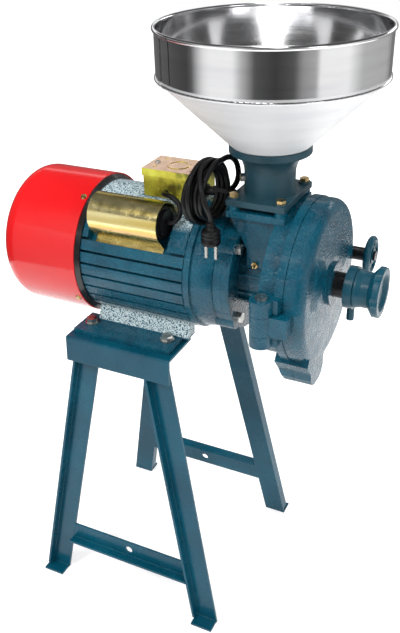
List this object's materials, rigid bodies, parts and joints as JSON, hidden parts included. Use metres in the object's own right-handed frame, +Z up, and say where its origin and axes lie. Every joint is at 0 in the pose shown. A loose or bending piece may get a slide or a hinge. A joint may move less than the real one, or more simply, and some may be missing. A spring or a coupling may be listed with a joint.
{
  "type": "electric grain mill",
  "caption": "Electric grain mill: finned foot-mounted motor, auger-fed disc grinder with hinged cover and adjusting handwheel, steel hopper and two-trestle stand.",
  "frame": {"origin": "on the ground, at the centre of the bounding box's footprint", "axes": "+X along the motor shaft towards the adjusting handwheel, +Y towards the clamp side, away from the cover's hinge, +Z up"},
  "size_m": [0.4734, 0.2814, 0.783],
  "materials": {
    "stand_paint": "hammered gloss teal",
    "body_paint": "hammered gloss teal",
    "throat_paint": "satin slate teal",
    "red_paint": "gloss",
    "black_paint": "gloss",
    "gold_plate": "yellow chromate over zinc",
    "stainless": "polished stainless steel",
    "zinc": "bright zinc",
    "brassy": "satin",
    "steel": "machined",
    "grinding_iron": "ground faces",
    "lamination": "varnished",
    "copper_wire": "varnished copper",
    "rotor_alloy": "die cast",
    "black_plastic": "satin",
    "knob_plastic": "satin",
    "black_steel": "black oxide, oiled",
    "black_rubber": "matte"
  },
  "bodies": {
    "base": {"near_rail": "stand_paint", "near_left_leg": "stand_paint", "near_right_leg": "stand_paint", "near_crossbar": "stand_paint", "far_rail": "stand_paint", "far_left_leg": "stand_paint", "far_right_leg": "stand_paint", "far_crossbar": "stand_paint", "foot_bolts": "zinc", "motor_frame": "body_paint", "stator": "lamination", "windings": "copper_wire", "rear_end_shield": "black_paint", "front_end_shield": "body_paint", "tie_bolts": "zinc", "rear_bearing": "steel", "front_bearing": "steel", "fan_cover": "red_paint", "fan_cover_screws": "brassy", "capacitor": "black_plastic", "capacitor_cover": "gold_plate", "terminal_box": "gold_plate", "terminal_box_lid": "gold_plate", "lid_screws": "zinc", "capacitor_lead": "black_rubber", "cable_gland": "black_rubber", "mill_housing": "body_paint", "flange_bolts": "zinc", "shaft_seal": "black_rubber", "grease_nipple": "brassy", "fixed_grinding_disc": "grinding_iron", "disc_screws": "zinc", "hinge_pin": "zinc", "feed_throat": "throat_paint", "throat_bolts": "brassy", "hopper": "stainless", "hopper_set_screw": "zinc", "mains_cord": "black_rubber", "cord_coil": "black_rubber", "mains_plug": "black_rubber", "plug_pins": "zinc"},
    "rotor": {"motor_shaft": "steel", "rotor_core": "rotor_alloy", "cooling_fan": "black_plastic", "auger": "steel"},
    "moving_disc": {"moving_grinding_disc": "grinding_iron", "disc_carrier": "grinding_iron", "carrier_screws": "zinc"},
    "cover": {"front_cover": "body_paint"},
    "thrust": {"thrust_pin": "steel"},
    "adjuster": {"adjusting_screw": "black_steel", "adjusting_handwheel": "knob_plastic"},
    "lock": {"lock_ring": "knob_plastic"},
    "washer": {"clamp_washer": "zinc"},
    "clamp": {"clamp_screw": "black_steel", "clamp_handwheel": "knob_plastic"}
  },
  "joints": [
    {"name": "shaft_spin", "type": "hinge", "parent": "base", "child": "rotor", "pos_m": [0, 0, 0.497], "axis": [1, 0, 0], "continuous": true},
    {"name": "disc_slide", "type": "slide", "parent": "rotor", "child": "moving_disc", "axis": [1, 0, 0], "range_m": [0, 0.003]},
    {"name": "cover_swing", "type": "hinge", "parent": "base", "child": "cover", "pos_m": [0.13035, -0.107, 0.49], "axis": [0, 0, 1], "range_deg": [-110, 0]},
    {"name": "adjuster_travel", "type": "slide", "parent": "cover", "child": "thrust", "axis": [1, 0, 0], "range_m": [0, 0.003]},
    {"name": "adjuster_turn", "type": "hinge", "parent": "thrust", "child": "adjuster", "pos_m": [0.22135, 0, 0.497], "axis": [1, 0, 0], "range_deg": [0, 540]},
    {"name": "lock_ring_turn", "type": "hinge", "parent": "adjuster", "child": "lock", "pos_m": [0.20035, 0, 0.497], "axis": [1, 0, 0], "range_deg": [-45, 45]},
    {"name": "clamp_travel", "type": "slide", "parent": "cover", "child": "washer", "axis": [1, 0, 0], "range_m": [0, 0.008]},
    {"name": "clamp_turn", "type": "hinge", "parent": "washer", "child": "clamp", "pos_m": [0.19235, 0.107, 0.489], "axis": [1, 0, 0], "range_deg": [0, 1440]}
  ],
  "couplings": [
    {"joint": "adjuster_turn", "follows": "adjuster_travel", "rad_per_m": 3141.6},
    {"joint": "disc_slide", "follows": "adjuster_travel", "ratio": 1},
    {"joint": "clamp_turn", "follows": "clamp_travel", "rad_per_m": 3141.6}
  ]
}
